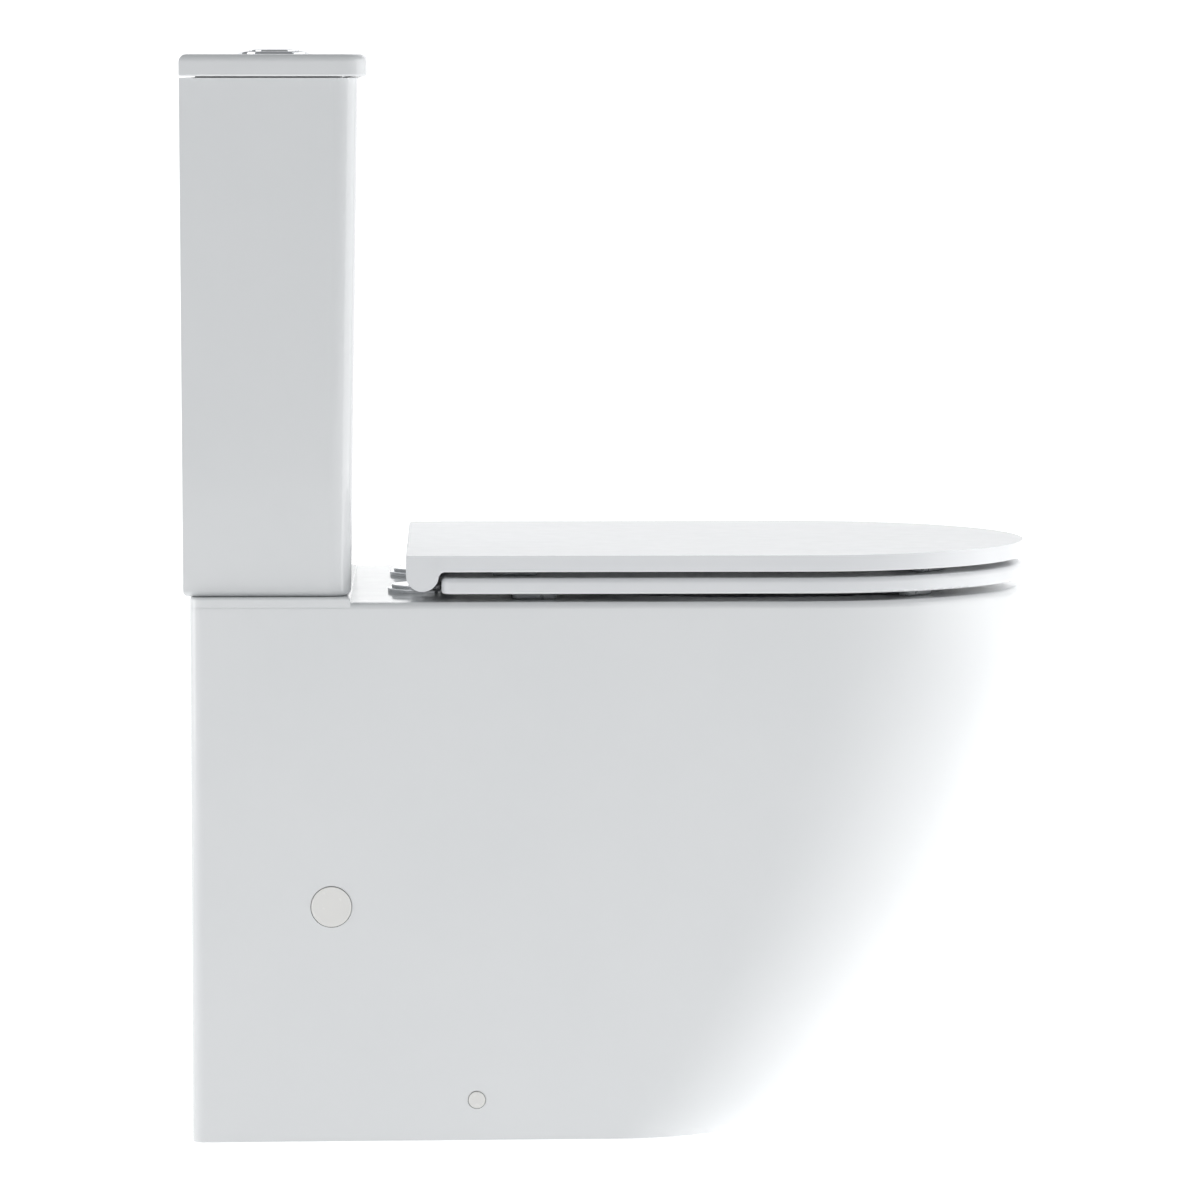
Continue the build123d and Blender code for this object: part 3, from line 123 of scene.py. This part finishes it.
MATERIALS = {
    "glaze": glaze(),
    "seat_plastic": seat_plastic(),
    "buffer": buffer(),
    "cap_plastic": plain("cap_plastic", (0.9, 0.89, 0.865), (0.92, 0.91, 0.885), 0.2, 0.3),
    "chrome": plain("chrome", (0.74, 0.75, 0.77), (0.8, 0.81, 0.82), 0.04, 0.09, 200.0, 0.000004, 1.0),
    "steel": plain("steel", (0.5, 0.5, 0.51), (0.6, 0.6, 0.61), 0.25, 0.4, 900.0, 0.00001, 1.0),
    "brass": plain("brass", (0.6, 0.45, 0.2), (0.7, 0.54, 0.26), 0.22, 0.36, 700.0, 0.00001, 1.0),
    "rubber": plain("rubber", (0.03, 0.03, 0.033), (0.055, 0.055, 0.06), 0.6, 0.8, 900.0, 0.00003),
    "fixing_plastic": plain("fixing_plastic", (0.66, 0.66, 0.65), (0.72, 0.72, 0.71), 0.4, 0.55),
    "valve_plastic": plain("valve_plastic", (0.8, 0.81, 0.81), (0.85, 0.86, 0.86), 0.3, 0.45),
    "valve_blue": plain("valve_blue", (0.05, 0.16, 0.36), (0.07, 0.2, 0.42), 0.3, 0.45),
}


def finish_node(obj, slot):
    """Gives an object its one material."""
    obj.data.materials.clear()
    obj.data.materials.append(MATERIALS[slot])


for node_name, node in frame["nodes"].items():
    finish_node(node, SLOT_OF[node_name])
    for polygon in node.data.polygons:
        polygon.use_smooth = True

# ---- Studio -------------------------------------------------------------------------
FLOOR_DEPTH = 6.0
COVE_R = 1.2
COVE_HEIGHT = 4.0


def make_stage():
    """Pale floor that curves up into a backdrop behind the object."""
    mesh = bpy.data.meshes.new("studio_cove")
    bm = bmesh.new()
    profile = [(-FLOOR_DEPTH, 0.0), (2.0, 0.0)]
    profile += [(2.0 + COVE_R * sin(a * pi / 32), COVE_R * (1 - cos(a * pi / 32))) for a in range(1, 17)]
    profile.append((2.0 + COVE_R, COVE_HEIGHT))
    rows = [[bm.verts.new((x, y, z)) for y in (-FLOOR_DEPTH, FLOOR_DEPTH)] for x, z in profile]
    for low, high in zip(rows, rows[1:]):
        bm.faces.new((low[0], high[0], high[1], low[1]))
    bm.to_mesh(mesh)
    bm.free()
    stage = bpy.data.objects.new("studio_cove", mesh)
    bpy.context.scene.collection.objects.link(stage)
    for polygon in mesh.polygons:
        polygon.use_smooth = True
    material, tree, shader, coords = new_material("studio_paper")
    tint(tree, noise(tree, coords, 3.0), (0.9, 0.9, 0.9), (0.92, 0.92, 0.92), shader.inputs["Base Color"])
    shader.inputs["Roughness"].default_value = 0.9
    shader.inputs["Emission Color"].default_value = (1, 1, 1, 1)
    shader.inputs["Emission Strength"].default_value = 0.62
    mesh.materials.append(material)


def add_area(name, place, target, size, power):
    """Soft box pointed at a target."""
    data = bpy.data.lights.new(name, "AREA")
    data.shape = "RECTANGLE"
    data.size, data.size_y = size
    data.energy = power
    lamp = bpy.data.objects.new(name, data)
    lamp.location = place
    lamp.rotation_euler = (Vector(target) - Vector(place)).to_track_quat("-Z", "Y").to_euler()
    bpy.context.scene.collection.objects.link(lamp)


def make_studio():
    make_stage()
    world = bpy.data.worlds.new("studio")
    world.use_nodes = True
    world.node_tree.nodes["Background"].inputs["Color"].default_value = (0.945, 0.975, 1.0, 1)
    world.node_tree.nodes["Background"].inputs["Strength"].default_value = 0.31
    bpy.context.scene.world = world
    centre = (0, 0, 0.4)
    add_area("front_box", (0.0, -3.0, 1.2), centre, (3.0, 2.6), 38)
    add_area("top_box", (0.3, -0.3, 3.2), centre, (3.0, 3.0), 1.5)
    add_area("rear_box", (-0.6, 2.8, 1.0), centre, (1.4, 2.2), 20)
    bpy.context.scene.view_settings.view_transform = "Standard"


def make_camera():
    """Long lens level with the cistern's top, tipped down at the pan and square to the side."""
    data = bpy.data.cameras.new("camera")
    camera = bpy.data.objects.new("camera", data)
    bpy.context.scene.collection.objects.link(camera)
    yaw, tilt = radians(1.35), radians(5.038)
    forward = Vector((cos(yaw) * cos(tilt), -sin(yaw) * cos(tilt), -sin(tilt)))
    camera.location = (-4.9, 0.1214, 0.835)
    camera.rotation_euler = forward.to_track_quat("-Z", "Y").to_euler()
    data.sensor_width = 36.0
    data.lens = 185.8
    data.clip_end = 100.0
    bpy.context.scene.camera = camera


make_studio()
make_camera()
